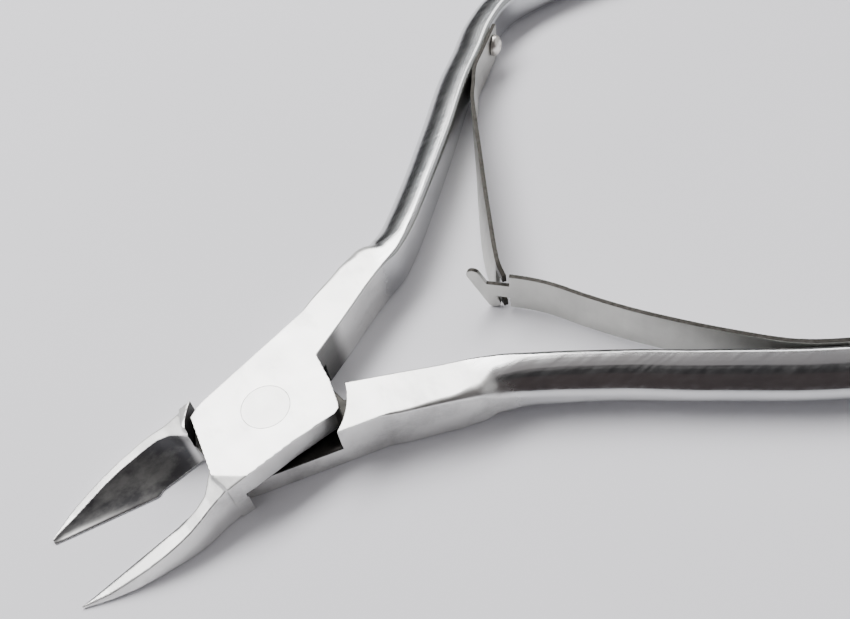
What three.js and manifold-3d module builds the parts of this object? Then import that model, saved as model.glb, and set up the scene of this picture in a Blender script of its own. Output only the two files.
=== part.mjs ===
// Cuticle nipper with a lap joint, a flush rivet and two hooked leaf springs.
// Millimetres, +Z up. The pivot axis is Z, the tool lies on z = 0,
// the handles point to +X and the jaws to -X. It is built open, at rest.
import * as THREE from 'three';
import Module from 'manifold-3d';
import { mergeVertices } from 'three/addons/utils/BufferGeometryUtils.js';

const wasm = await Module();
wasm.setup();

const THICK = 5.8;
const LAP_GAP = 0.3;
const RECESS_R = 8.1;
const RIVET_R = 1.9;
const RIVET_HEAD_R = 2.5;
const RIVET_LAND = 0.25;
const RIVET_CONE = 1.0;
const RIVET_CLEAR = 0.06;

const SPRING_THICK = 0.5;
const SPRING_WIDTH = 5.0;
const SPRING_GAP = 0.12;
const NECK_WIDTH = 1.9;
const HEAD_LENGTH = 6.2;
const HEAD_WIDTH = 1.5;
const HEAD_TILT = 26;
const HEAD_STEPS = 10;
const SLOT_WIDTH = 3.0;
const LEAF_STEPS = 44;

const SCREW_AT = 9.3;
const SCREW_UP = 3.4;
const TAIL = 2.1;
const SCREW_HEAD_R = 1.4;
const SCREW_HEAD_H = 1.1;
const SCREW_RIM = 0.22;
const SCREW_R = 0.7;
const SCREW_DEPTH = 2.2;
const SCREW_CLEAR = 0.06;
const HOLE_SPARE = 0.2;
const HOLE_REACH = 3;
const SCREW_SIDES = 28;
const DOME_STEPS = 6;
const RIVET_SIDES = 64;
const RECESS_SIDES = 96;
// Cutters reach this far past the faces that they cut through.
const CUT_OVER = 1;
const WELD = 1e-5;

// The inner edge of the handle, seen from above, with the section there: x, y on the upper
// and on the lower lever, width, height, radius of the outer and of the inner corners.
const HANDLE = [
  [5.2, 1.2, 1.2, 4.6, 5.8, 0.3, 0.3],
  [7.6, 2.4, 2.4, 4.7, 5.8, 0.3, 0.3],
  [12.0, 4.6, 4.55, 4.75, 5.8, 0.3, 0.3],
  [16.5, 6.95, 6.8, 4.45, 5.8, 0.4, 0.3],
  [19.0, 8.05, 7.9, 4.4, 5.8, 0.8, 0.3],
  [21.6, 9.0, 9.2, 4.2, 5.75, 1.9, 0.4],
  [25.0, 11.2, 11.4, 4.1, 5.6, 2.3, 0.6],
  [31.0, 16.1, 15.75, 4.15, 5.4, 2.5, 0.7],
  [38.0, 22.15, 21.35, 4.3, 5.2, 2.5, 0.7],
  [45.5, 28.9, 27.2, 4.4, 5.1, 2.5, 0.7],
  [50.5, 32.75, 30.67, 4.4, 5.0, 2.45, 0.7],
  [55.5, 36.6, 34.15, 4.5, 5.0, 2.4, 0.8],
  [60.5, 39.0, 36.4, 4.6, 5.0, 2.4, 0.9],
  [66.0, 39.2, 36.8, 4.8, 5.0, 2.4, 1.1],
  [73.0, 38.2, 35.8, 4.9, 4.9, 2.4, 1.3],
  [81.0, 36.0, 33.9, 4.8, 4.7, 2.3, 1.5],
  [88.0, 33.4, 31.5, 4.3, 4.3, 2.1, 1.7],
];
// The rows between which the inner face is flat and carries the spring.
const CLAMP_ROWS = [9, 11];
const HANDLE_STEPS = 48;
const HANDLE_END = 2.0;
const END_ANGLES = [0.35, 0.7, 1.05, 1.35];
const CORNER_STEPS = 5;
// The outer corners are flattened arcs, this much wider than they are high.
const CROWN = 1.45;
const MIN_FLAT = 0.02;

// Sections of a jaw from the heel to the tip: x, then distances from the centre line of
// the cutting edge, the inner rim, the outer rim and the outer foot, then the rim's height.
const UPPER_JAW = [
  [-5.6, 1.9, 0.9, 5.3, 5.2, 5.79],
  [-7.0, 2.3, 1.6, 5.45, 5.6, 5.35],
  [-8.0, 2.5, 2.7, 5.55, 5.8, 4.9],
  [-9.2, 2.5, 4.1, 5.65, 6.0, 4.4],
  [-10.5, 2.45, 4.6, 5.95, 6.35, 3.95],
  [-12.0, 2.5, 4.82, 6.2, 6.6, 3.4],
  [-12.9, 2.75, 4.85, 6.25, 6.65, 3.12],
  [-13.3, 2.82, 4.8, 6.3, 6.65, 3.0],
  [-15.0, 3.08, 4.78, 6.3, 6.6, 2.52],
  [-17.0, 3.4, 4.75, 6.15, 6.5, 1.95],
  [-19.0, 3.72, 4.7, 5.85, 6.25, 1.4],
  [-21.0, 4.05, 4.62, 5.5, 5.75, 0.85],
  [-22.6, 4.3, 4.68, 5.05, 5.2, 0.55],
  [-23.8, 4.46, 4.6, 4.7, 4.76, 0.35],
];
const LOWER_JAW = [
  [-5.6, 1.9, 0.9, 5.3, 5.2, 5.79],
  [-7.0, 2.25, 1.6, 5.45, 5.6, 5.35],
  [-8.0, 2.35, 2.7, 5.55, 5.8, 4.9],
  [-9.2, 2.25, 4.1, 5.65, 6.0, 4.4],
  [-10.5, 2.05, 4.75, 5.95, 6.35, 3.95],
  [-12.0, 1.9, 5.0, 6.2, 6.6, 3.4],
  [-12.6, 1.82, 5.04, 6.2, 6.65, 3.2],
  [-13.1, 1.42, 5.05, 6.2, 6.6, 3.05],
  [-15.0, 1.7, 5.1, 6.15, 6.5, 2.52],
  [-17.0, 2.02, 4.95, 5.95, 6.35, 1.95],
  [-19.0, 2.33, 4.65, 5.65, 6.0, 1.35],
  [-21.0, 2.65, 4.3, 5.2, 5.45, 0.8],
  [-22.6, 2.92, 4.02, 4.5, 4.6, 0.5],
  [-23.8, 3.14, 3.7, 3.85, 3.9, 0.35],
];
const HOLLOW_STEPS = 5;
const HOLLOW_SAG = 0.07;
const EDGE_HEIGHT = 0.15;
// The underside starts this far behind the cutting edge.
const EDGE_BACK = 0.25;
// The rounded outer side: its rim, the middle of its flank, and its foot.
const RIM_BREAK = 0.06;
const RIM_DROP = 0.1;
const FLANK_OUT = 0.7;
const FLANK_UP = 0.45;
const FOOT_HEIGHT = 0.35;
const FOOT_SHARE = 0.3;
const FOOT_BREAK = 0.15;
// The outline of the full-thickness middle, from the heel of the jaw round to the shank.
const HUB = [
  [-7.35, -1.0],
  [-6.6, 3.7],
  [-5.6, 4.4],
  [-4.4, 4.8],
  [8.6, 8.15],
  [10.0, 8.6],
  [10.9, 4.3],
  [7.4, 2.6],
  [7.15, 2.2],
  [6.7, -1.2],
  [5.95, -4.2],
  [5.7, -4.7],
  [5.1, -5.0],
  [0.0, -5.2],
  [-5.0, -5.7],
  [-7.2, -5.7],
  [-7.75, -3.4],
];
// The heel is ground down from the flat of the joint, beyond a slanting line.
const HEEL_LINE = [[-7.75, -3.5], [-5.1, -5.65]];
const HEEL_SLOPE = 0.32;

// The free part of each leaf from its clamp to its hook, seen from above and drawn on the
// upper side: x, y, and how far its lower edge leans out towards the handle.
const SLOTTED_LEAF = [
  [46.5, 28.9, 0],
  [45.05, 27.05, 0],
  [43.66, 25.35, 0.1],
  [41.2, 21.4, 0.25],
  [38.2, 16.35, 0.5],
  [35.1, 11.2, 0.8],
  [31.7, 5.4, 1.0],
  [29.95, 2.35, 0.8],
  [28.95, 0.4, 0.3],
  [28.35, -1.45, 0],
];
const SLOTTED_BEND = 2.2;
const NOTCH = [[28.95, 0.45], [27.95, -2.75]];
const HAMMER_LEAF = [
  [45.7, 26.75, 0],
  [44.1, 25.2, 0],
  [41.5, 21.95, 0],
  [38.9, 18.4, 0],
  [35.5, 13.2, 0],
  [33.3, 9.2, 0],
  [31.4, 5.35, 0],
  [30.1, 3.4, 0],
  [28.75, 1.75, 0],
  [27.75, 0.6, 0],
  [26.85, -0.42, 0],
];
const HAMMER_BEND = 1.6;
const NECK = [[28.75, 1.75], [25.5, -1.75]];
const BLOCK_REACH = 1.6;

const STEEL = { color: 0xd9dad8, roughness: 0.3, metalness: 1.0 };
const SPRING_STEEL = { color: 0x9d9d99, roughness: 0.45, metalness: 1.0 };
const SCREW_STEEL = { color: 0xdedad0, roughness: 0.22, metalness: 1.0 };

function toManifold(geometry) {
  geometry.deleteAttribute('normal');
  geometry.deleteAttribute('uv');
  const merged = mergeVertices(geometry, WELD);
  return new wasm.Manifold(new wasm.Mesh({
    numProp: 3,
    vertProperties: new Float32Array(merged.attributes.position.array),
    triVerts: new Uint32Array(merged.index.array),
  }));
}

function toGeometry(solid) {
  const mesh = solid.getMesh();
  const geometry = new THREE.BufferGeometry();
  geometry.setAttribute('position', new THREE.BufferAttribute(mesh.vertProperties, 3));
  geometry.setIndex(new THREE.BufferAttribute(mesh.triVerts, 1));
  geometry.computeVertexNormals();
  return geometry;
}

// A closed skin through rings of points, all with the same count, with flat fans at its ends.
function loft(rings) {
  const count = rings[0].length;
  const points = rings.flat();
  const index = [];
  for (let r = 0; r + 1 < rings.length; r += 1) {
    for (let i = 0; i < count; i += 1) {
      const a = r * count + i;
      const b = r * count + (i + 1) % count;
      index.push(a, b, b + count, a, b + count, a + count);
    }
  }
  capRing(points, index, rings[0], 0, true);
  capRing(points, index, rings.at(-1), (rings.length - 1) * count, false);
  const geometry = new THREE.BufferGeometry();
  geometry.setAttribute('position', new THREE.Float32BufferAttribute(points.flat(), 3));
  geometry.setIndex(index);
  return geometry;
}

// Closes an end ring by ear clipping, seen along x or along y.
function capRing(points, index, ring, start, flip) {
  const spreadX = Math.abs(ring[0][0] - ring[Math.floor(ring.length / 2)][0]);
  const spreadY = Math.abs(ring[0][1] - ring[Math.floor(ring.length / 2)][1]);
  const axis = spreadX > spreadY ? 0 : 1;
  const outline = ring.map((p) => new THREE.Vector2(p[axis], p[2]));
  const wound = THREE.ShapeUtils.isClockWise(outline);
  for (const [a, b, c] of THREE.ShapeUtils.triangulateShape(outline, [])) {
    if (flip === followsRing(ring, a, b, c, axis, wound)) {
      index.push(start + a, start + b, start + c);
    } else {
      index.push(start + a, start + c, start + b);
    }
  }
}

// True when the triangle runs the same way round as its ring.
function followsRing(ring, a, b, c, axis, wound) {
  const area = (ring[b][axis] - ring[a][axis]) * (ring[c][2] - ring[a][2])
    - (ring[c][axis] - ring[a][axis]) * (ring[b][2] - ring[a][2]);
  return (area < 0) !== wound;
}

function extrudeOutline(points, low, high) {
  const geometry = new THREE.ExtrudeGeometry(
    new THREE.Shape(points.map(([x, y]) => new THREE.Vector2(x, y))),
    { depth: high - low, bevelEnabled: false },
  );
  geometry.translate(0, 0, low);
  return geometry;
}

// A smooth path through points of two or three numbers.
function smoothPath(points) {
  const places = points.map(([x, y, lean = 0]) => new THREE.Vector3(x, y, lean));
  return new THREE.CatmullRomCurve3(places, false, 'centripetal');
}

function handlePoint(row, side) {
  return [row[0], side > 0 ? row[1] : row[2]];
}

// Reads a column of the handle table at a place counted in rows.
function handleValue(row, column) {
  const low = Math.min(Math.floor(row), HANDLE.length - 2);
  const t = row - low;
  const ease = t * t * (3 - 2 * t);
  return HANDLE[low][column] * (1 - ease) + HANDLE[low + 1][column] * ease;
}

function corner(across, up, wide, high, from) {
  const points = [];
  for (let i = 0; i <= CORNER_STEPS; i += 1) {
    const angle = from + (i / CORNER_STEPS) * Math.PI / 2;
    points.push([across + wide * Math.cos(angle), up + high * Math.sin(angle)]);
  }
  return points;
}

// The handle's section: across is measured outwards from the inner face.
function handleSection(width, height, outer, inner) {
  const half = height / 2;
  const high = Math.min(outer, half - MIN_FLAT);
  const wide = Math.min(outer * CROWN, width - inner - MIN_FLAT);
  return [
    ...corner(width - wide, half - high, wide, high, 0),
    ...corner(inner, half - inner, inner, inner, Math.PI / 2),
    ...corner(inner, inner - half, inner, inner, Math.PI),
    ...corner(width - wide, high - half, wide, high, 1.5 * Math.PI),
  ];
}

function handleRing(path, row, shrink, ahead) {
  const u = row / (HANDLE.length - 1);
  const at = path.getPoint(u);
  const way = path.getTangent(u);
  const [width, height, outer, inner] = [3, 4, 5, 6].map((column) => handleValue(row, column));
  const centre = width / 2;
  const section = handleSection(width, height, outer, inner);
  return section.map(([across, up]) => {
    const side = centre + (across - centre) * shrink;
    return [
      at.x - way.y * side + way.x * ahead,
      at.y + way.x * side + way.y * ahead,
      THICK / 2 + up * shrink,
    ];
  });
}

function handleSolid(side) {
  const path = smoothPath(HANDLE.map((row) => handlePoint(row, side)));
  const rings = [];
  const last = HANDLE.length - 1;
  for (let i = 0; i <= HANDLE_STEPS; i += 1) {
    rings.push(handleRing(path, (i / HANDLE_STEPS) * last, 1, 0));
  }
  for (const angle of END_ANGLES) {
    rings.push(handleRing(path, last, Math.cos(angle), HANDLE_END * Math.sin(angle)));
  }
  return toManifold(loft(rings));
}

// One jaw section: the hollow runs from the inner rim down to the cutting edge.
function jawRing([x, edge, innerRim, outerRim, foot, top]) {
  const ring = [
    [x, -(edge + EDGE_BACK), 0],
    [x, -edge, EDGE_HEIGHT],
  ];
  for (let i = 1; i < HOLLOW_STEPS; i += 1) {
    const t = i / HOLLOW_STEPS;
    const sag = HOLLOW_SAG * 4 * t * (1 - t);
    ring.push([
      x,
      -(edge + (innerRim - edge) * t + (top - EDGE_HEIGHT) * sag),
      EDGE_HEIGHT + (top - EDGE_HEIGHT) * t - Math.max(0, innerRim - edge) * sag,
    ]);
  }
  ring.push([x, -innerRim, top]);
  ring.push([x, -(outerRim - RIM_BREAK), top]);
  ring.push([x, -outerRim, top - RIM_DROP]);
  ring.push([x, -(foot * FLANK_OUT + outerRim * (1 - FLANK_OUT)), top * FLANK_UP]);
  ring.push([x, -foot, Math.min(FOOT_HEIGHT, top * FOOT_SHARE)]);
  ring.push([x, -Math.max(foot - FOOT_BREAK, edge + EDGE_BACK + MIN_FLAT), 0]);
  return ring;
}

function jawSolid(side) {
  const rows = side > 0 ? UPPER_JAW : LOWER_JAW;
  return toManifold(loft(rows.map((row) => jawRing(row).reverse())));
}

function grindHeel(solid) {
  const [[x, y], [farX, farY]] = HEEL_LINE;
  const along = new THREE.Vector2(farX - x, farY - y).normalize();
  const normal = new THREE.Vector3(along.y * HEEL_SLOPE, -along.x * HEEL_SLOPE, 1).normalize();
  const offset = normal.dot(new THREE.Vector3(x, y, THICK));
  return solid.trimByPlane([-normal.x, -normal.y, -normal.z], -offset);
}

// The full-thickness middle, before its recess is cut.
function hubSolid() {
  return toManifold(extrudeOutline(HUB.toReversed(), 0, THICK));
}

function disc(radius, low, high) {
  const geometry = new THREE.CylinderGeometry(radius, radius, high - low, RECESS_SIDES);
  geometry.rotateX(Math.PI / 2);
  geometry.translate(0, 0, (low + high) / 2);
  return toManifold(geometry);
}

function latheZ(profile, sides) {
  const geometry = new THREE.LatheGeometry(profile.map(([r, z]) => new THREE.Vector2(r, z)), sides);
  return geometry.rotateX(Math.PI / 2);
}

// Rivet profile, grown by a clearance for the hole.
function rivetProfile(grow, over) {
  const head = RIVET_HEAD_R + grow;
  const shank = RIVET_R + grow;
  return [
    [0, -over],
    [head, -over],
    [head, RIVET_LAND],
    [shank, RIVET_CONE],
    [shank, THICK - RIVET_CONE],
    [head, THICK - RIVET_LAND],
    [head, THICK + over],
    [0, THICK + over],
  ];
}

// The frame of the flat stretch of the handle's inner face that carries the spring.
function clampFrame(side) {
  const [near, far] = CLAMP_ROWS.map((row) => new THREE.Vector2(...handlePoint(HANDLE[row], side)));
  const along = far.clone().sub(near).normalize();
  return { near, along, inward: new THREE.Vector2(along.y, -along.x) };
}

function clampPoint(side, distance, depth) {
  const { near, along, inward } = clampFrame(side);
  const spot = near.clone().addScaledVector(along, distance).addScaledVector(inward, depth);
  return [spot.x, spot.y];
}

// Turns a shape drawn along +Z so that it points out of the handle's inner face.
function onClampFace(geometry, side) {
  const { inward } = clampFrame(side);
  const [x, y] = clampPoint(side, SCREW_AT, 0);
  geometry.rotateX(Math.PI / 2);
  geometry.rotateZ(Math.atan2(inward.y, inward.x) + Math.PI / 2);
  geometry.translate(x, y, SCREW_UP);
  return geometry;
}

function screwGeometry(side) {
  const seat = SPRING_GAP * 2 + SPRING_THICK;
  const profile = [
    [0, -SCREW_DEPTH],
    [SCREW_R, -SCREW_DEPTH],
    [SCREW_R, seat],
    [SCREW_HEAD_R, seat],
    [SCREW_HEAD_R, seat + SCREW_RIM],
  ];
  for (let i = 1; i <= DOME_STEPS; i += 1) {
    const angle = (i / DOME_STEPS) * Math.PI / 2;
    profile.push([
      i === DOME_STEPS ? 0 : SCREW_HEAD_R * Math.cos(angle),
      seat + SCREW_RIM + (SCREW_HEAD_H - SCREW_RIM) * Math.sin(angle),
    ]);
  }
  return mirrored(onClampFace(latheZ(profile, SCREW_SIDES), side), side);
}

function screwHole(side, radius, low, high) {
  const profile = [[0, low], [radius, low], [radius, high], [0, high]];
  return toManifold(onClampFace(latheZ(profile, SCREW_SIDES), side));
}

// side is +1 for the lever whose plate is on top, -1 for the other, mirrored across y = 0.
function leverGeometry(side) {
  const hole = screwHole(side, SCREW_R + SCREW_CLEAR, -SCREW_DEPTH - HOLE_SPARE, HOLE_REACH);
  let solid = grindHeel(handleSolid(side).add(hubSolid()).add(jawSolid(side))).subtract(hole);
  const low = side > 0 ? -CUT_OVER : THICK / 2 - LAP_GAP / 2;
  const high = side > 0 ? THICK / 2 + LAP_GAP / 2 : THICK + CUT_OVER;
  solid = solid.subtract(disc(RECESS_R, low, high));
  solid = solid.subtract(toManifold(latheZ(rivetProfile(RIVET_CLEAR, CUT_OVER), RIVET_SIDES)));
  return mirrored(toGeometry(solid), side);
}

function mirrored(geometry, side) {
  if (side > 0) {
    return geometry;
  }
  const flipped = geometry.index ? geometry.toNonIndexed() : geometry;
  const p = flipped.attributes.position;
  for (let i = 0; i < p.count; i += 3) {
    const swap = [p.getX(i + 1), p.getY(i + 1), p.getZ(i + 1)];
    p.setXYZ(i + 1, p.getX(i + 2), p.getY(i + 2), p.getZ(i + 2));
    p.setXYZ(i + 2, ...swap);
  }
  flipped.scale(1, -1, 1);
  flipped.deleteAttribute('normal');
  const merged = mergeVertices(flipped, WELD);
  merged.computeVertexNormals();
  return merged;
}

// A leaf's path: flat against the handle, then bent away towards the centre line.
function leafPath(side, bend, free) {
  const depth = SPRING_GAP + SPRING_THICK / 2;
  const base = [SCREW_AT + TAIL, SCREW_AT, (SCREW_AT + bend) / 2, bend];
  return [...base.map((distance) => clampPoint(side, distance, depth)), ...free];
}

// A strip standing on edge, with its lower edge moved to the right of its path by the lean.
function strip(points, low, high) {
  const path = smoothPath(points);
  const half = SPRING_THICK / 2;
  const rings = [];
  for (let i = 0; i <= LEAF_STEPS; i += 1) {
    const at = path.getPoint(i / LEAF_STEPS);
    const way = path.getTangent(i / LEAF_STEPS).setZ(0).normalize();
    const place = (right, z) => [at.x + way.y * right, at.y - way.x * right, z];
    rings.push([
      place(at.z - half, low),
      place(-half, high),
      place(half, high),
      place(at.z + half, low),
    ]);
  }
  return toManifold(loft(rings));
}

function leafSolid(side, bend, free) {
  const low = (THICK - SPRING_WIDTH) / 2;
  const blank = strip(leafPath(side, bend, free), low, low + SPRING_WIDTH);
  return blank.subtract(screwHole(side, SCREW_R + SCREW_CLEAR, -CUT_OVER, HOLE_REACH));
}

// A block over the last stretch of a leaf, between two places seen from above.
function endBlock([[x, y], [endX, endY]], low, high) {
  const length = Math.hypot(endX - x, endY - y);
  const geometry = new THREE.BoxGeometry(length, 2 * BLOCK_REACH, high - low);
  geometry.rotateZ(Math.atan2(endY - y, endX - x));
  geometry.translate((x + endX) / 2, (y + endY) / 2, (low + high) / 2);
  return toManifold(geometry);
}

// The hammer head: a bar with round ends across the neck, in the strip's own plane.
function headSolid() {
  const radius = HEAD_WIDTH / 2;
  const outline = [];
  for (const end of [1, -1]) {
    for (let i = 0; i <= HEAD_STEPS; i += 1) {
      const angle = (i / HEAD_STEPS) * Math.PI;
      outline.push([
        end * radius * Math.cos(angle),
        end * (HEAD_LENGTH / 2 - radius + radius * Math.sin(angle)),
      ]);
    }
  }
  const [from, to] = HAMMER_LEAF.slice(-2);
  const geometry = extrudeOutline(outline, -SPRING_THICK / 2, SPRING_THICK / 2);
  geometry.rotateZ(-THREE.MathUtils.degToRad(HEAD_TILT));
  geometry.rotateX(Math.PI / 2);
  geometry.rotateZ(Math.atan2(to[1] - from[1], to[0] - from[0]));
  geometry.translate(to[0], to[1], THICK / 2);
  return toManifold(geometry);
}

// The lower leaf, which ends in a narrow neck and a hammer head.
function hammerSpring() {
  const neckLow = (THICK - NECK_WIDTH) / 2;
  const leaf = leafSolid(-1, HAMMER_BEND, HAMMER_LEAF)
    .subtract(endBlock(NECK, -CUT_OVER, neckLow))
    .subtract(endBlock(NECK, neckLow + NECK_WIDTH, THICK + CUT_OVER));
  return mirrored(toGeometry(leaf.add(headSolid())), -1);
}

// The upper leaf, whose end is notched into two prongs that straddle the neck.
function slottedSpring() {
  const notch = endBlock(NOTCH, (THICK - SLOT_WIDTH) / 2, (THICK + SLOT_WIDTH) / 2);
  return toGeometry(leafSolid(1, SLOTTED_BEND, SLOTTED_LEAF).subtract(notch));
}

function named(name, geometry, look) {
  const mesh = new THREE.Mesh(geometry, new THREE.MeshStandardMaterial(look));
  mesh.name = name;
  return mesh;
}

const nipper = new THREE.Group();
nipper.name = 'cuticle_nipper';
nipper.add(named('upper_lever', leverGeometry(1), STEEL));
nipper.add(named('lower_lever', leverGeometry(-1), STEEL));
nipper.add(named('pivot_rivet', latheZ(rivetProfile(0, 0), RIVET_SIDES), STEEL));
nipper.add(named('hammer_spring', hammerSpring(), SPRING_STEEL));
nipper.add(named('slotted_spring', slottedSpring(), SPRING_STEEL));
nipper.add(named('upper_spring_screw', screwGeometry(1), SCREW_STEEL));
nipper.add(named('lower_spring_screw', screwGeometry(-1), SCREW_STEEL));

export default nipper;
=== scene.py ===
"""Cuticle nipper: the looks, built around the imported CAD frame."""

import math

import bmesh
import bpy
import numpy as np
from mathutils import Matrix, Vector


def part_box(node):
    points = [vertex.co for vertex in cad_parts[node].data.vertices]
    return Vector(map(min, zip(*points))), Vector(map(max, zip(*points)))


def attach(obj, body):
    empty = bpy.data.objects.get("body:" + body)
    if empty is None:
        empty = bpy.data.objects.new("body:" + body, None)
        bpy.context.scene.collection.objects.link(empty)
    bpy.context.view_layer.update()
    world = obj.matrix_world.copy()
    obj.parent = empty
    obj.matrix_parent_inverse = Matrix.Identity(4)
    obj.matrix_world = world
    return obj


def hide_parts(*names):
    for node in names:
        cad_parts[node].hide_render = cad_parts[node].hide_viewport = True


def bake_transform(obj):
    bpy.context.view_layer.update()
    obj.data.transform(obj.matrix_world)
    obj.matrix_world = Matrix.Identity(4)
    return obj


MM = 0.001
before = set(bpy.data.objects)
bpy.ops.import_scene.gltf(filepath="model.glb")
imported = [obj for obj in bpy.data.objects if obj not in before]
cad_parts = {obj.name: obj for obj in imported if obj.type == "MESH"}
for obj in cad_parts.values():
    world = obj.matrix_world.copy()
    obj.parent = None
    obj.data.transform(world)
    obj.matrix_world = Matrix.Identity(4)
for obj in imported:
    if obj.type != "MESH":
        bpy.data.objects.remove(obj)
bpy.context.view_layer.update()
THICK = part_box("upper_lever")[1].z / MM

# ---------------------------------------------------------------- camera

FRAME_WIDTH_PX = 850
SENSOR_WIDTH = 36.0
FOCAL_PX = 914.0
CAMERA_AT = Vector((-6.6, -54.2, 79.7)) * MM
CAMERA_HEADING = math.radians(64.6)
CAMERA_DOWN = math.radians(50.96)
CAMERA_ROLL = math.radians(11.27)


def make_camera():
    data = bpy.data.cameras.new("camera")
    data.sensor_width = SENSOR_WIDTH
    data.lens = data.sensor_width * FOCAL_PX / FRAME_WIDTH_PX
    data.clip_start = 0.005
    data.clip_end = 10.0
    camera = bpy.data.objects.new("camera", data)
    bpy.context.scene.collection.objects.link(camera)
    forward = Vector((
        math.cos(CAMERA_DOWN) * math.cos(CAMERA_HEADING),
        math.cos(CAMERA_DOWN) * math.sin(CAMERA_HEADING),
        -math.sin(CAMERA_DOWN),
    ))
    right = forward.cross(Vector((0, 0, 1))).normalized()
    down = forward.cross(right)
    turned_right = right * math.cos(CAMERA_ROLL) + down * math.sin(CAMERA_ROLL)
    turned_down = down * math.cos(CAMERA_ROLL) - right * math.sin(CAMERA_ROLL)
    turn = Matrix((turned_right, -turned_down, -forward)).transposed()
    camera.matrix_world = Matrix.Translation(CAMERA_AT) @ turn.to_4x4()
    bpy.context.scene.camera = camera


# ---------------------------------------------------------------- mesh helpers


def new_object(name, mesh):
    obj = bpy.data.objects.new(name, mesh)
    bpy.context.scene.collection.objects.link(obj)
    return obj


def baked(obj):
    """Applies every modifier, and leaves the result as the object's own mesh."""
    graph = bpy.context.evaluated_depsgraph_get()
    mesh = bpy.data.meshes.new_from_object(obj.evaluated_get(graph))
    obj.modifiers.clear()
    obj.data = mesh
    return obj


def loft(name, rings, scale=MM):
    """A closed skin through rings of the same number of points, in millimetres."""
    bm = bmesh.new()
    rows = [[bm.verts.new(Vector(p) * scale) for p in ring] for ring in rings]
    for low, high in zip(rows, rows[1:]):
        for i in range(len(low)):
            k = (i + 1) % len(low)
            bm.faces.new((low[i], low[k], high[k], high[i]))
    bm.faces.new(rows[0][::-1])
    bm.faces.new(rows[-1])
    bmesh.ops.recalc_face_normals(bm, faces=bm.faces)
    mesh = bpy.data.meshes.new(name)
    bm.to_mesh(mesh)
    bm.free()
    return new_object(name, mesh)


def prism(name, outline, low, high):
    return loft(name, [[(x, y, z) for x, y in outline] for z in (low, high)])


def circle(radius, sides, centre=(0.0, 0.0)):
    turns = [2 * math.pi * i / sides for i in range(sides)]
    return [(centre[0] + radius * math.cos(a), centre[1] + radius * math.sin(a)) for a in turns]


def boolean(obj, other, operation, solver="MANIFOLD"):
    step = obj.modifiers.new(operation, "BOOLEAN")
    step.operation = operation
    step.solver = solver
    step.object = other
    baked(obj)
    bpy.data.objects.remove(other)
    return obj


def soften(obj, voxel, rounds):
    """Turns the solid into one even skin and rounds its edges a little."""
    step = obj.modifiers.new("remesh", "REMESH")
    step.mode = "VOXEL"
    step.voxel_size = voxel * MM
    smooth = obj.modifiers.new("smooth", "SMOOTH")
    smooth.factor = 0.5
    smooth.iterations = rounds
    return baked(obj)


def shade(obj, angle=35.0):
    for polygon in obj.data.polygons:
        polygon.use_smooth = True
    obj.data.set_sharp_from_angle(angle=math.radians(angle))
    return obj


def mirror_y(obj):
    obj.data.transform(Matrix.Scale(-1, 4, Vector((0, 1, 0))))
    obj.data.flip_normals()
    return obj


def spline(points, count):
    """count + 1 places on a centripetal Catmull-Rom curve, each a point and a direction."""
    tiny = 1e-9
    least_gap = 1e-4
    knots = [Vector((*p, 0.0)) if len(p) == 2 else Vector(p) for p in points]
    knots = [knots[0] * 2 - knots[1], *knots, knots[-1] * 2 - knots[-2]]
    places = []
    for i in range(count + 1):
        row = min(i / count * (len(points) - 1), len(points) - 1 - tiny)
        k = int(row)
        p = knots[k:k + 4]
        gap = [max((p[j + 1] - p[j]).length ** 0.5, least_gap) for j in range(3)]
        leaving = ((p[1] - p[0]) / gap[0] - (p[2] - p[0]) / (gap[0] + gap[1])
                   + (p[2] - p[1]) / gap[1]) * gap[1]
        arriving = ((p[2] - p[1]) / gap[1] - (p[3] - p[1]) / (gap[1] + gap[2])
                    + (p[3] - p[2]) / gap[2]) * gap[1]
        t = row - k
        square = -3 * p[1] + 3 * p[2] - 2 * leaving - arriving
        cube = 2 * p[1] - 2 * p[2] + leaving + arriving
        place = p[1] + leaving * t + square * t * t + cube * t ** 3
        places.append((place, (leaving + 2 * square * t + 3 * cube * t * t).normalized()))
    return places


# ---------------------------------------------------------------- levers

# The handle's inner edge from above, with its section: x, y on the upper and on the lower
# lever, width across, height, radius of the outer and of the inner corners. Millimetres.
HANDLE = [
    (5.2, 1.2, 1.2, 4.6, 5.8, 0.12, 0.12),
    (7.6, 2.4, 2.4, 4.7, 5.8, 0.12, 0.12),
    (12.0, 4.6, 4.55, 4.75, 5.8, 0.16, 0.12),
    (16.5, 6.95, 6.8, 4.45, 5.8, 0.4, 0.15),
    (19.0, 8.05, 7.9, 4.4, 5.8, 0.8, 0.2),
    (21.6, 9.0, 9.2, 4.2, 5.75, 1.9, 0.4),
    (25.0, 11.2, 11.4, 4.1, 5.6, 2.3, 0.6),
    (31.0, 16.1, 15.75, 4.15, 5.4, 2.5, 0.7),
    (38.0, 22.15, 21.35, 4.3, 5.2, 2.5, 0.7),
    (45.5, 28.9, 27.2, 4.4, 5.1, 2.5, 0.7),
    (50.5, 32.75, 30.67, 4.4, 5.0, 2.45, 0.7),
    (55.5, 36.6, 34.15, 4.5, 5.0, 2.4, 0.8),
    (60.5, 39.0, 36.4, 4.6, 5.0, 2.4, 0.9),
    (66.0, 39.2, 36.8, 4.8, 5.0, 2.4, 1.1),
    (73.0, 38.2, 35.8, 4.9, 4.9, 2.4, 1.3),
    (81.0, 36.0, 33.9, 4.8, 4.7, 2.3, 1.5),
    (88.0, 33.4, 31.5, 4.3, 4.3, 2.1, 1.7),
]
# The leaf is clamped on the straight stretch between these two rows.
CLAMP_ROWS = (9, 11)
HANDLE_STEPS = 220
# The round end: how far it reaches, and how far round its last section goes, in radians.
HANDLE_END = 2.0
END_STEPS = 8
END_TURN = 1.42
CORNER_STEPS = 12
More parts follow.
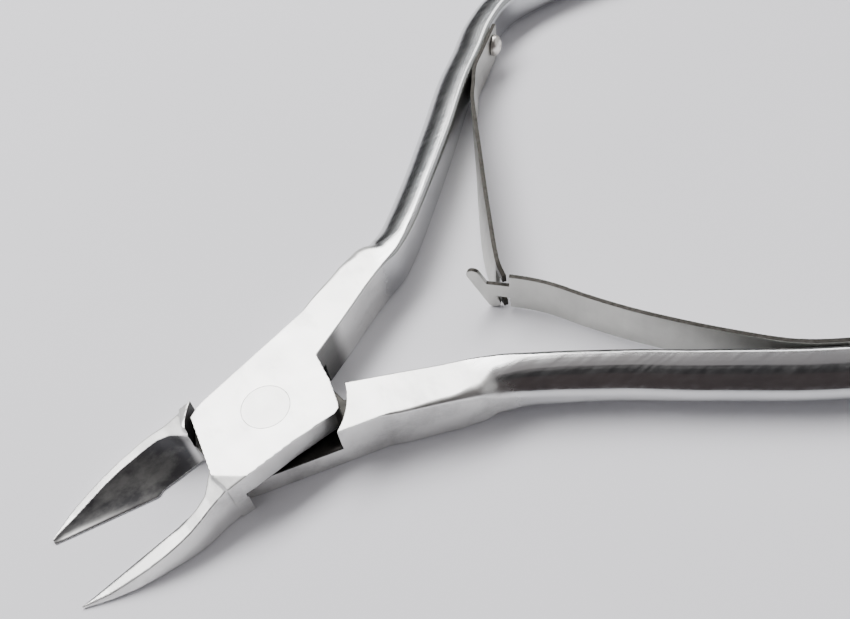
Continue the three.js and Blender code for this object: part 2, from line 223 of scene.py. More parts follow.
# The outer corners are flattened arcs, this much wider than they are high.
CROWN = 1.45
MIN_FLAT = 0.02

# Jaw sections: x, cutting edge, inner rim, outer rim and foot from the centre line, rim height.
UPPER_JAW = [
    (-5.6, 1.9, 0.9, 5.3, 5.2, 5.79),
    (-7.0, 2.3, 1.6, 5.45, 5.6, 5.35),
    (-8.0, 2.5, 2.7, 5.55, 5.8, 4.9),
    (-9.2, 2.5, 4.1, 5.65, 6.0, 4.4),
    (-10.5, 2.45, 4.6, 5.95, 6.35, 3.95),
    (-12.0, 2.5, 4.82, 6.2, 6.6, 3.4),
    (-12.9, 2.75, 4.85, 6.25, 6.65, 3.12),
    (-13.3, 2.82, 4.8, 6.3, 6.65, 3.0),
    (-15.0, 3.08, 4.78, 6.3, 6.6, 2.52),
    (-17.0, 3.4, 4.75, 6.15, 6.5, 1.95),
    (-19.0, 3.72, 4.7, 5.85, 6.25, 1.4),
    (-21.0, 4.05, 4.62, 5.5, 5.75, 0.85),
    (-22.6, 4.3, 4.68, 5.05, 5.2, 0.55),
    (-23.8, 4.46, 4.6, 4.7, 4.76, 0.35),
]
LOWER_JAW = [
    (-5.6, 1.9, 0.9, 5.3, 5.2, 5.79),
    (-7.0, 2.25, 1.6, 5.45, 5.6, 5.35),
    (-8.0, 2.35, 2.7, 5.55, 5.8, 4.9),
    (-9.2, 2.25, 4.1, 5.65, 6.0, 4.4),
    (-10.5, 2.05, 4.75, 5.95, 6.35, 3.95),
    (-12.0, 1.9, 5.0, 6.2, 6.6, 3.4),
    (-12.6, 1.82, 5.04, 6.2, 6.65, 3.2),
    (-13.1, 1.42, 5.05, 6.2, 6.6, 3.05),
    (-15.0, 1.7, 5.1, 6.15, 6.5, 2.52),
    (-17.0, 2.02, 4.95, 5.95, 6.35, 1.95),
    (-19.0, 2.33, 4.65, 5.65, 6.0, 1.35),
    (-21.0, 2.65, 4.3, 5.2, 5.45, 0.8),
    (-22.6, 2.92, 4.02, 4.5, 4.6, 0.5),
    (-23.8, 3.14, 3.7, 3.85, 3.9, 0.35),
]
JAW_STEPS = 60
HOLLOW_STEPS = 14
HOLLOW_SAG = 0.07
EDGE_HEIGHT = 0.15
# The underside starts this far behind the cutting edge.
EDGE_BACK = 0.25
# The rounded outer side: its rim, the middle of its flank, and its foot.
RIM_BREAK = 0.06
RIM_DROP = 0.1
FLANK_OUT = 0.7
FLANK_UP = 0.45
FOOT_HEIGHT = 0.35
FOOT_SHARE = 0.3
FOOT_BREAK = 0.15
# The heel is ground down from the flat of the joint, beyond a slanting line.
HEEL_LINE = ((-7.75, -3.5), (-5.1, -5.65))
HEEL_SLOPE = 0.32
GRINDER_REACH = 40
GRINDER_HEIGHT = 20.0

HUB = [
    (-7.35, -1.0), (-6.6, 3.7), (-5.6, 4.4), (-4.4, 4.8), (8.6, 8.15), (10.0, 8.6), (10.9, 4.3),
    (7.4, 2.6), (7.15, 2.2), (6.7, -1.2), (5.95, -4.2), (5.7, -4.7), (5.1, -5.0), (0.0, -5.2),
    (-5.0, -5.7), (-7.2, -5.7), (-7.75, -3.4),
]
RECESS_R = 8.1
RECESS_SIDES = 160
LAP_GAP = 0.3
RIVET_R = 2.5
RIVET_SIDES = 128
# Cutters reach this far past the faces that they cut through.
CUT_OVER = 1.0
VOXEL = 0.1
SMOOTHING = 3


def eased(rows, row, column):
    low = min(int(row), len(rows) - 2)
    t = row - low
    ease = t * t * (3 - 2 * t)
    return rows[low][column] * (1 - ease) + rows[low + 1][column] * ease


def corner(across, up, wide, high, start):
    turns = [start + i / CORNER_STEPS * math.pi / 2 for i in range(CORNER_STEPS + 1)]
    return [(across + wide * math.cos(a), up + high * math.sin(a)) for a in turns]


def handle_point(row, side):
    return row[0], row[1] if side > 0 else row[2]


def handle_ring(place, way, row, shrink=1.0, ahead=0.0):
    width, height, outer, inner = (eased(HANDLE, row, c) for c in (3, 4, 5, 6))
    half = height / 2
    high = min(outer, half - MIN_FLAT)
    wide = min(outer * CROWN, width - inner - MIN_FLAT)
    section = [
        *corner(width - wide, half - high, wide, high, 0.0),
        *corner(inner, half - inner, inner, inner, math.pi / 2),
        *corner(inner, inner - half, inner, inner, math.pi),
        *corner(width - wide, high - half, wide, high, 1.5 * math.pi),
    ]
    ring = []
    for across, up in section:
        side = width / 2 + (across - width / 2) * shrink
        ring.append((
            place.x - way.y * side + way.x * ahead,
            place.y + way.x * side + way.y * ahead,
            THICK / 2 + up * shrink,
        ))
    return ring


def make_handle(side):
    last = len(HANDLE) - 1
    places = spline([handle_point(row, side) for row in HANDLE], HANDLE_STEPS)
    rings = [
        handle_ring(place, way, i / HANDLE_STEPS * last) for i, (place, way) in enumerate(places)
    ]
    place, way = places[-1]
    for k in range(1, END_STEPS + 1):
        angle = k / END_STEPS * END_TURN
        rings.append(handle_ring(place, way, last, math.cos(angle), HANDLE_END * math.sin(angle)))
    return loft("handle", rings)


def jaw_ring(rows, x):
    """One jaw section, whose hollow runs from the cutting edge up to the inner rim."""
    places = [-row[0] for row in rows]
    edge, inner, outer, foot, top = (
        float(np.interp(-x, places, [row[column] for row in rows])) for column in range(1, 6)
    )
    ring = [(x, -(edge + EDGE_BACK), 0.0), (x, -edge, EDGE_HEIGHT)]
    for i in range(1, HOLLOW_STEPS):
        t = i / HOLLOW_STEPS
        sag = HOLLOW_SAG * 4 * t * (1 - t)
        ring.append((
            x,
            -(edge + (inner - edge) * t + (top - EDGE_HEIGHT) * sag),
            EDGE_HEIGHT + (top - EDGE_HEIGHT) * t - max(0.0, inner - edge) * sag,
        ))
    ring += [
        (x, -inner, top),
        (x, -(outer - RIM_BREAK), top),
        (x, -outer, top - RIM_DROP),
        (x, -(foot * FLANK_OUT + outer * (1 - FLANK_OUT)), top * FLANK_UP),
        (x, -foot, min(FOOT_HEIGHT, top * FOOT_SHARE)),
        (x, -max(foot - FOOT_BREAK, edge + EDGE_BACK + MIN_FLAT), 0.0),
    ]
    return ring


def make_jaw(side):
    rows = UPPER_JAW if side > 0 else LOWER_JAW
    first, last = rows[0][0], rows[-1][0]
    steps = [first + (last - first) * i / JAW_STEPS for i in range(JAW_STEPS + 1)]
    return loft("jaw", [jaw_ring(rows, x) for x in steps])


def heel_block():
    """Everything above the slanting plane that the heel of the jaw is ground down to."""
    near, far = (Vector((*p, THICK)) for p in HEEL_LINE)
    along = (far - near).normalized()
    normal = Vector((along.y * HEEL_SLOPE, -along.x * HEEL_SLOPE, 1)).normalized()
    r = GRINDER_REACH
    block = prism("heel", [(-r, -r), (r, -r), (r, r), (-r, r)], 0.0, GRINDER_HEIGHT)
    turn = Vector((0, 0, 1)).rotation_difference(normal).to_matrix().to_4x4()
    block.data.transform(Matrix.Translation(near * MM) @ turn)
    return block


def clamp_frame(side):
    near, far = (Vector((*handle_point(HANDLE[row], side), 0.0)) for row in CLAMP_ROWS)
    along = (far - near).normalized()
    return near, along, Vector((along.y, -along.x, 0.0))


def clamp_point(side, distance, depth):
    near, along, inward = clamp_frame(side)
    return near + along * distance + inward * depth


SCREW_AT = 9.3
SCREW_UP = 3.4
SCREW_HOLE_R = 0.76
SCREW_HOLE_DEPTH = 2.4
SCREW_HOLE_REACH = 2.0
SCREW_HOLE_SIDES = 32


def on_clamp_face(obj, side):
    """Stands a shape that is drawn along +Z out of the handle's inner face."""
    inward = clamp_frame(side)[2]
    turn = Vector((0, 0, 1)).rotation_difference(inward).to_matrix().to_4x4()
    spot = clamp_point(side, SCREW_AT, 0.0)
    spot.z = SCREW_UP
    obj.data.transform(Matrix.Translation(spot * MM) @ turn)
    return obj


def screw_hole(side, low):
    outline = circle(SCREW_HOLE_R, SCREW_HOLE_SIDES)
    return on_clamp_face(prism("hole", outline, low, SCREW_HOLE_REACH), side)


def make_lever(name, side):
    """side is 1 for the lever whose plate is on top, and -1 for the other, mirrored across y = 0."""
    lever = make_handle(side)
    boolean(lever, prism("hub", HUB[::-1], 0.0, THICK), "UNION")
    boolean(lever, make_jaw(side), "UNION")
    boolean(lever, heel_block(), "DIFFERENCE")
    low = -CUT_OVER if side > 0 else THICK / 2 - LAP_GAP / 2
    high = THICK / 2 + LAP_GAP / 2 if side > 0 else THICK + CUT_OVER
    boolean(lever, prism("recess", circle(RECESS_R, RECESS_SIDES), low, high), "DIFFERENCE")
    soften(lever, VOXEL, SMOOTHING)
    bore = prism("rivet_hole", circle(RIVET_R, RIVET_SIDES), -CUT_OVER, THICK + CUT_OVER)
    boolean(lever, bore, "DIFFERENCE")
    boolean(lever, screw_hole(side, -SCREW_HOLE_DEPTH), "DIFFERENCE")
    if side < 0:
        mirror_y(lever)
    lever.name = name
    shade(lever)
    body = name.replace("_forging", "")
    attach(lever, body)
    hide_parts(body)
    return lever


# ---------------------------------------------------------------- rivet, springs, screws


def lathe(name, profile, sides):
    """A turned solid about Z from (radius, height) pairs, in millimetres."""
    return loft(name, [[(x, y, z) for x, y in circle(r, sides)] for r, z in profile])


RIVET_CHAMFER = 0.04
RIVET_GAP = 0.015


def make_rivet():
    rim = RIVET_R - RIVET_GAP
    rivet = lathe("rivet", [
        (rim - RIVET_CHAMFER, 0.0),
        (rim, RIVET_CHAMFER),
        (rim, THICK - RIVET_CHAMFER),
        (rim - RIVET_CHAMFER, THICK),
    ], RIVET_SIDES)
    shade(rivet)
    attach(rivet, "lower_lever")
    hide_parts("pivot_rivet")
    return rivet


SPRING_THICK = 0.5
SPRING_WIDTH = 5.0
SPRING_GAP = 0.12
NECK_WIDTH = 1.9
HEAD_LENGTH = 6.2
HEAD_WIDTH = 1.5
HEAD_TILT = math.radians(26)
HEAD_STEPS = 12
SLOT_WIDTH = 3.0
TAIL = 2.1
SPRING_VOXEL = 0.07
SPRING_SMOOTHING = 2
LEAF_STEPS = 180

# The free part of each leaf from its clamp to its hook, seen from above and drawn on the
# upper side: x, y, and how far its lower edge leans out towards the handle.
SLOTTED_LEAF = [
    (46.5, 28.9, 0.0), (45.05, 27.05, 0.0), (43.66, 25.35, 0.1), (41.2, 21.4, 0.25),
    (38.2, 16.35, 0.5), (35.1, 11.2, 0.8), (31.7, 5.4, 1.0), (29.95, 2.35, 0.8),
    (28.95, 0.4, 0.3), (28.35, -1.45, 0.0),
]
SLOTTED_BEND = 2.2
NOTCH = ((28.95, 0.45), (27.95, -2.75))
HOOK = (28.4, -1.1)
HAMMER_LEAF = [
    (45.7, 26.75, 0.0), (44.1, 25.2, 0.0), (41.5, 21.95, 0.0), (38.9, 18.4, 0.0),
    (35.5, 13.2, 0.0), (33.3, 9.2, 0.0), (31.4, 5.35, 0.0), (30.1, 3.4, 0.0),
    (28.75, 1.75, 0.0), (27.75, 0.6, 0.0), (26.85, -0.42, 0.0),
]
HAMMER_BEND = 1.6
NECK = ((28.75, 1.75), (25.5, -1.75))
BLOCK_REACH = 1.6


def strip(name, points, low, high):
    """A strip standing on edge, its lower edge moved to the right of its path by the lean."""
    rings = []
    half = SPRING_THICK / 2
    for at, way in spline(points, LEAF_STEPS):
        right = Vector((way.y, -way.x, 0)).normalized()
        base = Vector((at.x, at.y, 0))
        rings.append([
            base + right * (at.z - half) + Vector((0, 0, low)),
            base - right * half + Vector((0, 0, high)),
            base + right * half + Vector((0, 0, high)),
            base + right * (at.z + half) + Vector((0, 0, low)),
        ])
    return loft(name, rings)


def make_leaf(name, side, bend, free):
    depth = SPRING_GAP + SPRING_THICK / 2
    distances = (SCREW_AT + TAIL, SCREW_AT, (SCREW_AT + bend) / 2, bend)
    base = [clamp_point(side, d, depth) for d in distances]
    low = (THICK - SPRING_WIDTH) / 2
    blank = strip(name, [*base, *free], low, low + SPRING_WIDTH)
    return boolean(blank, screw_hole(side, -CUT_OVER), "DIFFERENCE")


def end_block(stretch, low, high):
    """A block over the last stretch of a leaf, between two places seen from above."""
    start, end = (Vector((*p, 0.0)) for p in stretch)
    along = (end - start).normalized()
    across = Vector((-along.y, along.x, 0)) * BLOCK_REACH
    outline = [start - across, end - across, end + across, start + across]
    return prism("block", [(p.x, p.y) for p in outline], low, high)


def hammer_head():
    """A rounded bar across the neck, in the strip's own plane, tilted a little."""
    radius = HEAD_WIDTH / 2
    reach = HEAD_LENGTH / 2 - radius
    outline = []
    for i in range(HEAD_STEPS + 1):
        angle = math.pi * i / HEAD_STEPS
        outline.append((radius * math.cos(angle), reach + radius * math.sin(angle)))
    outline += [(-x, -y) for x, y in outline]
    start, centre = (Vector((x, y, 0)) for x, y, _ in HAMMER_LEAF[-2:])
    way = (centre - start).normalized()
    side = Vector((-way.y, way.x, 0))
    centre.z = THICK / 2
    rings = []
    for offset in (-SPRING_THICK / 2, SPRING_THICK / 2):
        ring = []
        for along, up in outline:
            a = along * math.cos(HEAD_TILT) + up * math.sin(HEAD_TILT)
            u = up * math.cos(HEAD_TILT) - along * math.sin(HEAD_TILT)
            ring.append(centre + way * a + side * offset + Vector((0, 0, u)))
        rings.append(ring)
    return loft("head", rings)


def finish_leaf(leaf, name, side):
    soften(leaf, SPRING_VOXEL, SPRING_SMOOTHING)
    if side < 0:
        mirror_y(leaf)
    leaf.name = name + "_leaf"
    shade(leaf)
    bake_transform(leaf)
    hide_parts(name)
    return leaf


def make_hammer_spring():
    leaf = make_leaf("hammer", -1, HAMMER_BEND, HAMMER_LEAF)
    neck_low = (THICK - NECK_WIDTH) / 2
    boolean(leaf, end_block(NECK, -CUT_OVER, neck_low), "DIFFERENCE")
    boolean(leaf, end_block(NECK, neck_low + NECK_WIDTH, THICK + CUT_OVER), "DIFFERENCE")
    boolean(leaf, hammer_head(), "UNION")
    return finish_leaf(leaf, "hammer_spring", -1)


def make_slotted_spring():
    leaf = make_leaf("slotted", 1, SLOTTED_BEND, SLOTTED_LEAF)
    notch = end_block(NOTCH, (THICK - SLOT_WIDTH) / 2, (THICK + SLOT_WIDTH) / 2)
    boolean(leaf, notch, "DIFFERENCE")
    return finish_leaf(leaf, "slotted_spring", 1)


SCREW_SHANK_R = SCREW_HOLE_R - 0.06
SCREW_DEPTH = 2.0
SCREW_HEAD_R = 1.4
SCREW_HEAD_H = 1.1
SCREW_RIM = 0.22
SCREW_CHAMFER = 0.05
SCREW_SIDES = 64
DOME_STEPS = 12
DOME_TURN = math.radians(86)
SCREW_SLOT = 0.22
SLOT_DEPTH = 0.18
SLOT_REACH = 2.0


def make_screw(name, side):
    seat = SPRING_GAP * 2 + SPRING_THICK
    profile = [
        (SCREW_SHANK_R, -SCREW_DEPTH),
        (SCREW_SHANK_R, seat),
        (SCREW_HEAD_R - SCREW_CHAMFER, seat),
        (SCREW_HEAD_R, seat + SCREW_CHAMFER),
        (SCREW_HEAD_R, seat + SCREW_RIM),
    ]
    for i in range(1, DOME_STEPS + 1):
        angle = i / DOME_STEPS * DOME_TURN
        profile.append((SCREW_HEAD_R * math.cos(angle),
                        seat + SCREW_RIM + (SCREW_HEAD_H - SCREW_RIM) * math.sin(angle)))
    screw = lathe("screw", profile, SCREW_SIDES)
    half = SCREW_SLOT / 2
    cut = [(-SLOT_REACH, -half), (SLOT_REACH, -half), (SLOT_REACH, half), (-SLOT_REACH, half)]
    slot_floor = seat + SCREW_HEAD_H - SLOT_DEPTH
    boolean(screw, prism("slot", cut, slot_floor, seat + SLOT_REACH), "DIFFERENCE")
    on_clamp_face(screw, side)
    if side < 0:
        mirror_y(screw)
    screw.name = name + "_dome"
    shade(screw)
    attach(screw, "upper_lever" if side > 0 else "lower_lever")
    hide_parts(name)
    return screw


# ---------------------------------------------------------------- materials

# Colours, most of them as a darker and a lighter tone that a noise blends.
SATIN = ((0.76, 0.76, 0.745), (0.88, 0.88, 0.865))
SCUFF = (0.50, 0.50, 0.49)
POLISHED = ((0.54, 0.55, 0.56), (0.62, 0.62, 0.62))
# Painted shade and dark reflection for the jaw's hollow.
HOLLOW_SHADE = ((0.11, 0.11, 0.115), (0.24, 0.24, 0.235))
# Near-black painted shade for the joint's recess and the gap between the shanks.
RECESS_SHADE = ((0.012, 0.012, 0.011), (0.05, 0.048, 0.045))
RIVET_HEAD = ((0.72, 0.72, 0.705), (0.86, 0.86, 0.845))
STRIP_FACE = ((0.50, 0.50, 0.475), (0.58, 0.58, 0.55))
# Near-black painted on the strips' edges, for the dark reflection that they show.
STRIP_RIM = ((0.035, 0.034, 0.03), (0.085, 0.08, 0.075))
# Painted shade for the slotted leaf's notched end, where the hammer head shades it.
HOOK_SHADE_TONE = (0.03, 0.028, 0.025)
DOME = ((0.76, 0.73, 0.68), (0.84, 0.81, 0.76))
TABLE = ((0.84, 0.84, 0.885), (0.88, 0.88, 0.925))

# Spans of a noise's value over which a colour or a roughness changes.
SOFT = (0.35, 0.65)
WIDE = (0.3, 0.7)
MOTTLED = (0.42, 0.62)
SPARSE = (0.52, 0.70)

# Depths of the relief in metres, and the turns of the marks that grinding and wear leave.
FINE = 0.000004
WAVY = 0.00004
GRIND_TURN = (0, 0, math.radians(20))
SCRATCH_TURN = (0, 0, math.radians(-38))
SCUFF_TURN = (0, 0, math.radians(28))


class Shader:
    """A small builder for one metal material."""

    def __init__(self, name):
        self.material = bpy.data.materials.new(name)
        self.material.use_nodes = True
        self.tree = self.material.node_tree
        self.metal = self.tree.nodes["Principled BSDF"]
        self.metal.inputs["Metallic"].default_value = 1.0
        self.place = self.node("ShaderNodeTexCoord").outputs["Object"]

    def node(self, kind, **settings):
        made = self.tree.nodes.new(kind)
        for key, value in settings.items():
            setattr(made, key, value)
        return made

    def link(self, source, target):
        self.tree.links.new(source, target)

    def noise(self, scale, stretch=(1, 1, 1), detail=4.0, rough=0.55, turn=(0, 0, 0)):
        mapping = self.node("ShaderNodeMapping")
        mapping.inputs["Scale"].default_value = stretch
        mapping.inputs["Rotation"].default_value = turn
        self.link(self.place, mapping.inputs["Vector"])
        noise = self.node("ShaderNodeTexNoise")
        noise.inputs["Scale"].default_value = scale
        noise.inputs["Detail"].default_value = detail
        noise.inputs["Roughness"].default_value = rough
        self.link(mapping.outputs["Vector"], noise.inputs["Vector"])
        return noise.outputs["Fac"]

    def attribute(self, name):
        return self.node("ShaderNodeAttribute", attribute_name=name).outputs["Fac"]

    def remap(self, value, span, low, high):
        """Maps the span of a value to the range from low to high."""
        mapped = self.node("ShaderNodeMapRange")
        self.link(value, mapped.inputs["Value"])
        for key, number in (("From Min", span[0]), ("From Max", span[1]),
                            ("To Min", low), ("To Max", high)):
            mapped.inputs[key].default_value = number
        return mapped.outputs["Result"]

    def mix(self, factor, a, b):
        """Mixes two numbers, each a socket or a plain value."""
        mix = self.node("ShaderNodeMix", data_type="FLOAT")
        for source, target in ((factor, mix.inputs[0]), (a, mix.inputs[2]), (b, mix.inputs[3])):
            if isinstance(source, (int, float)):
                target.default_value = source
            else:
                self.link(source, target)
        return mix.outputs[0]

    def mix_colour(self, factor, a, b):
        mix = self.node("ShaderNodeMix", data_type="RGBA")
        self.link(factor, mix.inputs[0])
        for source, target in ((a, mix.inputs[6]), (b, mix.inputs[7])):
            if isinstance(source, tuple):
                target.default_value = (*source, 1.0)
            else:
                self.link(source, target)
        return mix.outputs[2]

    def tint(self, noise, span, tones):
        """Blends two tones by a noise."""
        return self.mix_colour(self.remap(noise, span, 0, 1), *tones)

    def bump(self, *layers):
        """Each layer is (height, distance in metres, strength)."""
        normal = None
        for height, distance, strength in layers:
            bump = self.node("ShaderNodeBump")
            bump.inputs["Distance"].default_value = distance
            bump.inputs["Strength"].default_value = strength
            self.link(height, bump.inputs["Height"])
            if normal is not None:
                self.link(normal, bump.inputs["Normal"])
            normal = bump.outputs["Normal"]
        self.link(normal, self.metal.inputs["Normal"])


def lever_steel():
    """Satin flats, polished handles, jaw hollows painted dark for their shade and dark reflections,
    and painted shade in the joint's recess and between the shanks, on one forging.
    """
    s = Shader("lever_steel")
    polish = s.attribute("polish")
    hollow = s.attribute("hollow")
    recess = s.attribute("recess")
    blotch = s.noise(260.0, detail=6.0)
    cloud = s.noise(90.0, detail=3.0)
    grind = s.noise(1500.0, stretch=(1.0, 0.12, 1.0), turn=GRIND_TURN, detail=3.0)
    scratch = s.noise(2600.0, stretch=(0.06, 1.0, 1.0), turn=SCRATCH_TURN, detail=2.0)
    mottle = s.noise(420.0, stretch=(0.6, 1.0, 1.0), detail=5.0, rough=0.65)
    scuffs = s.noise(170.0, stretch=(1.0, 0.45, 1.0), turn=SCUFF_TURN, detail=7.0, rough=0.7)
    satin = s.tint(blotch, SOFT, SATIN)
    satin = s.mix_colour(s.remap(scuffs, SPARSE, 0, 0.75), satin, SCUFF)
    flats_and_handles = s.mix_colour(polish, satin, s.tint(cloud, SOFT, POLISHED))
    # The jaw's hollow gets a dark colour painted in for its shade and dark reflections.
    outside = s.mix_colour(hollow, flats_and_handles, s.tint(mottle, MOTTLED, HOLLOW_SHADE))
    # The joint's recess and the gap between the shanks get a near-black painted shade.
    colour = s.mix_colour(recess, outside, s.tint(mottle, SOFT, RECESS_SHADE))
    s.link(colour, s.metal.inputs["Base Color"])
    rough_satin = s.remap(blotch, WIDE, 0.34, 0.46)
    rough_polish = s.remap(scratch, WIDE, 0.17, 0.26)
    rough_ground = s.remap(mottle, WIDE, 0.46, 0.62)
    rough = s.mix(hollow, s.mix(polish, rough_satin, rough_polish), rough_ground)
    s.link(rough, s.metal.inputs["Roughness"])
    wear = s.mix(polish, grind, scratch)
    s.bump((wear, FINE, 0.5), (cloud, WAVY, 0.25))
    return s.material


def spring_steel():
    """Matte rolled strip whose rough sheared edges are painted near-black for their dark
    reflections, with painted shade on the notched end.
    """
    s = Shader("spring_steel")
    grain = s.noise(1800.0, stretch=(1.0, 1.0, 0.15), detail=4.0)
    cloud = s.noise(300.0, detail=5.0)
    shear = s.noise(2400.0, stretch=(1.0, 1.0, 0.3), detail=3.0)
    edge = s.attribute("edge")
    # The edges take a near-black colour painted in for their dark reflections.
    strip_colour = s.mix_colour(edge, s.tint(cloud, SOFT, STRIP_FACE), s.tint(shear, WIDE, STRIP_RIM))
    # The notched end is darkened with painted shade.
    hook_shade = s.mix_colour(s.attribute("hook"), strip_colour, HOOK_SHADE_TONE)
    s.link(hook_shade, s.metal.inputs["Base Color"])
    s.link(s.mix(edge, s.remap(grain, WIDE, 0.38, 0.5), 0.6), s.metal.inputs["Roughness"])
    s.bump((grain, FINE, 0.4), (s.mix(edge, cloud, shear), 2.5 * FINE, 0.35))
    return s.material


def screw_steel():
    """Smooth, slightly warm domes."""
    s = Shader("screw_steel")
    cloud = s.noise(700.0, detail=5.0)
    marks = s.noise(3200.0, stretch=(1.0, 1.0, 0.2), detail=2.0)
    s.link(s.tint(cloud, SOFT, DOME), s.metal.inputs["Base Color"])
    s.link(s.remap(marks, WIDE, 0.3, 0.42), s.metal.inputs["Roughness"])
    s.bump((marks, 0.75 * FINE, 0.3))
    return s.material


def rivet_steel():
    """The flush head, ground with the plates, a shade apart from them."""
    s = Shader("rivet_steel")
    blotch = s.noise(380.0, detail=6.0)
    grind = s.noise(1500.0, stretch=(1.0, 0.12, 1.0), turn=GRIND_TURN, detail=3.0)
    s.link(s.tint(blotch, SOFT, RIVET_HEAD), s.metal.inputs["Base Color"])
    s.link(s.remap(blotch, WIDE, 0.36, 0.48), s.metal.inputs["Roughness"])
    s.bump((grind, FINE, 0.35))
    return s.material


def paint(obj, material):
    obj.data.materials.clear()
    obj.data.materials.append(material)


def vertex_value(obj, name, values):
    layer = obj.data.attributes.new(name, "FLOAT", "POINT")
    layer.data.foreach_set("value", values.astype(np.float32))


def vertex_table(obj):
    """Places and normals of the vertices, the places in millimetres."""
    count = len(obj.data.vertices)
    places, normals = np.zeros(count * 3), np.zeros(count * 3)
    obj.data.vertices.foreach_get("co", places)
    obj.data.vertices.foreach_get("normal", normals)
    return places.reshape(-1, 3) / MM, normals.reshape(-1, 3)


def ramp(values, low, high):
    t = np.clip((values - low) / (high - low), 0, 1)
    return t * t * (3 - 2 * t)


# Where the finishes and the painted shade change, in millimetres. FACING and UPWARD are spans of a
# part of the face's normal, POLISH_SLANT is a slope, and the painted shade on the shanks has a
# strength of at most 1.
POLISH_FROM, POLISH_FULL = 18.2, 20.4
POLISH_SLANT = 0.35
POLISH_AXIS = 10
HOLLOW_FROM, HOLLOW_FULL = 7.8, 8.6
HOLLOW_FACING = (0.15, 0.4)
HOLLOW_UPWARD = (-0.2, 0.05)
WALL_FACING = (0.3, 0.7)
WALL_BAND = 0.4
LAP_OVER = 0.1
SHANK_FACING = (0.5, 0.8)
SHANK_START = 6.5
SHANK_FROM, SHANK_TO = 9.5, 11.5
SHANK_SHADE = 0.8
EDGE_FACING = (0.55, 0.8)
# Painted shade at the hook: full within the first distance, gone beyond the second.
HOOK_SHADE_FULL = 1.0
HOOK_SHADE_END = 2.6
LEAST_RADIUS = 0.01


def mark_lever(lever, side):
    """Says where the lever is polished, where its jaw is hollow ground and painted dark, and where
    shade is painted into the joint's recess and between the shanks.
    """
    p, n = vertex_table(lever)
    x, y, z = p[:, 0], p[:, 1] * side, p[:, 2]
    ny = n[:, 1] * side
    slanted = x - POLISH_SLANT * (y - POLISH_AXIS)
    vertex_value(lever, "polish", ramp(slanted, POLISH_FROM, POLISH_FULL))
    inside = ramp(-x, HOLLOW_FROM, HOLLOW_FULL) * ramp(ny, *HOLLOW_FACING) * (y < 0)
    vertex_value(lever, "hollow", inside * ramp(n[:, 2], *HOLLOW_UPWARD))
    radius = np.hypot(x, y)
    inward = -(n[:, 0] * x + ny * y) / np.maximum(radius, LEAST_RADIUS)
    wall = ramp(inward, *WALL_FACING) * (np.abs(radius - RECESS_R) < WALL_BAND)
    lap = (np.abs(z - THICK / 2) < LAP_GAP) * (radius < RECESS_R + LAP_OVER)
    near_joint = ramp(-x, -SHANK_TO, -SHANK_FROM) * (x > SHANK_START)
    # Painted shade on the inner sides of the shanks beside the joint, where they face each other.
    shank = ramp(-ny, *SHANK_FACING) * near_joint * SHANK_SHADE
    vertex_value(lever, "recess", np.maximum(np.maximum(wall, lap), shank))


def mark_leaf(leaf):
    """Says which faces are sheared edges, and how much painted shade darkens the notched end."""
    p, n = vertex_table(leaf)
    vertex_value(leaf, "edge", ramp(np.abs(n[:, 2]), *EDGE_FACING))
    reach = np.hypot(p[:, 0] - HOOK[0], p[:, 1] - HOOK[1])
    # How strongly painted shade darkens the notched end, full near the hook and fading further away.
    hook_shade = ramp(-reach, -HOOK_SHADE_END, -HOOK_SHADE_FULL)
    vertex_value(leaf, "hook", hook_shade * leaf.name.startswith("slotted"))


# ---------------------------------------------------------------- stage and light


def floor_material():
    s = Shader("floor")
    s.metal.inputs["Metallic"].default_value = 0.0
    s.metal.inputs["Roughness"].default_value = 0.75
    cloud = s.noise(9.0, detail=3.0)
    s.link(s.tint(cloud, SOFT, TABLE), s.metal.inputs["Base Color"])
    return s.material


STAGE_CENTRE = Vector((0.03, 0.0, 0.0))
FLOOR_SIZE = 4.0
FLOOR_DROP = 0.00003
BOX_DISTANCE = 0.8


def make_floor():
    place = STAGE_CENTRE - Vector((0.0, 0.0, FLOOR_DROP))
    bpy.ops.mesh.primitive_plane_add(size=FLOOR_SIZE, location=place)
    floor = bpy.context.object
    floor.name = "floor"
    paint(floor, floor_material())


def toward(azimuth, elevation, distance):
    a, e = math.radians(azimuth), math.radians(elevation)
    return Vector((math.cos(a) * math.cos(e), math.sin(a) * math.cos(e), math.sin(e))) * distance


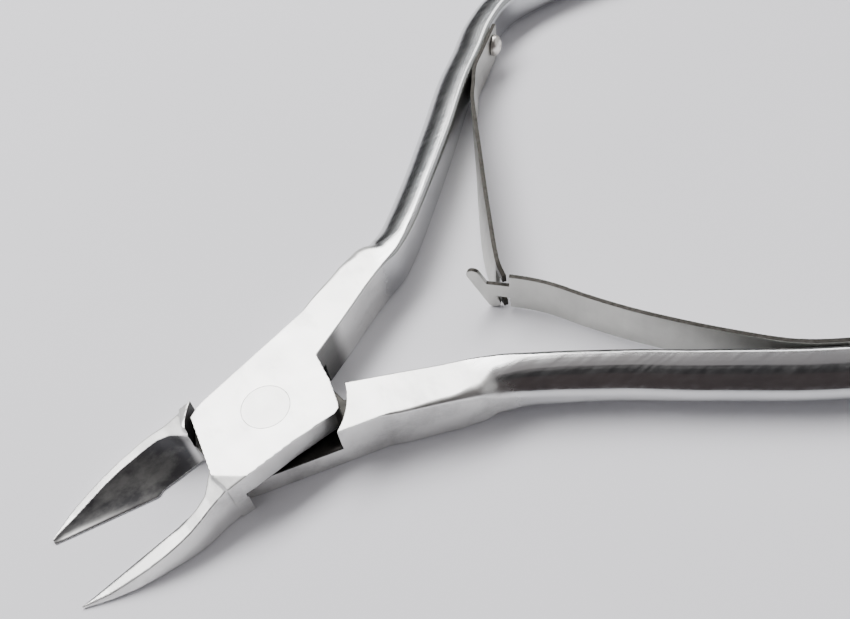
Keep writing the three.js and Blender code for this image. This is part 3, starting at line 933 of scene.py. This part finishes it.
def soft_box(name, azimuth, elevation, wide, high, radiance, tint):
    """A lit panel that faces the nipper, with its width and height as angles in degrees."""
    data = bpy.data.lights.new(name, "AREA")
    data.shape = "RECTANGLE"
    data.size = 2 * BOX_DISTANCE * math.tan(math.radians(wide / 2))
    data.size_y = 2 * BOX_DISTANCE * math.tan(math.radians(high / 2))
    data.energy = radiance * math.pi * data.size * data.size_y
    data.color = tint
    lamp = bpy.data.objects.new(name, data)
    bpy.context.scene.collection.objects.link(lamp)
    offset = toward(azimuth, elevation, BOX_DISTANCE)
    lamp.location = STAGE_CENTRE + offset
    lamp.rotation_mode = "QUATERNION"
    lamp.rotation_quaternion = (-offset).to_track_quat("-Z", "Y")
    lamp.visible_camera = False


def make_world(level):
    world = bpy.data.worlds.new("studio")
    bpy.context.scene.world = world
    world.use_nodes = True
    world.node_tree.nodes["Background"].inputs["Color"].default_value = (*level, 1.0)
    world.node_tree.nodes["Background"].inputs["Strength"].default_value = 1.0


WORLD = (0.035, 0.034, 0.036)
# Each panel: name, azimuth, elevation, width and height in degrees, radiance, tint.
PANELS = [
    ("key_box", 100, 56, 62, 20, 13.0, (1.0, 0.99, 0.98)),
    ("rim_box", 33, 37, 20, 14, 5.5, (1.0, 0.99, 0.98)),
    ("top_panel", 66, 76, 78, 34, 0.34, (1.0, 0.94, 0.95)),
    ("back_panel", 62, 36, 44, 14, 0.25, (0.90, 0.98, 1.0)),
    ("front_panel", 250, 35, 90, 60, 0.04, (1.0, 0.68, 0.66)),
    ("left_panel", 160, 30, 80, 50, 0.7, (0.97, 0.98, 1.0)),
    ("right_panel", 335, 30, 80, 50, 0.7, (1.0, 1.0, 1.0)),
]


def make_light():
    make_world(WORLD)
    for panel in PANELS:
        soft_box(*panel)


# ---------------------------------------------------------------- the nipper

make_camera()
steel = lever_steel()
strip_steel = spring_steel()
dome_steel = screw_steel()
upper = make_lever("upper_lever_forging", 1)
lower = make_lever("lower_lever_forging", -1)
for lever, side in ((upper, 1), (lower, -1)):
    mark_lever(lever, side)
    paint(lever, steel)
rivet = make_rivet()
paint(rivet, rivet_steel())
for leaf in (make_hammer_spring(), make_slotted_spring()):
    mark_leaf(leaf)
    paint(leaf, strip_steel)
for name, side in (("upper_spring_screw", 1), ("lower_spring_screw", -1)):
    paint(make_screw(name, side), dome_steel)
make_floor()
make_light()

bpy.context.view_layer.update()
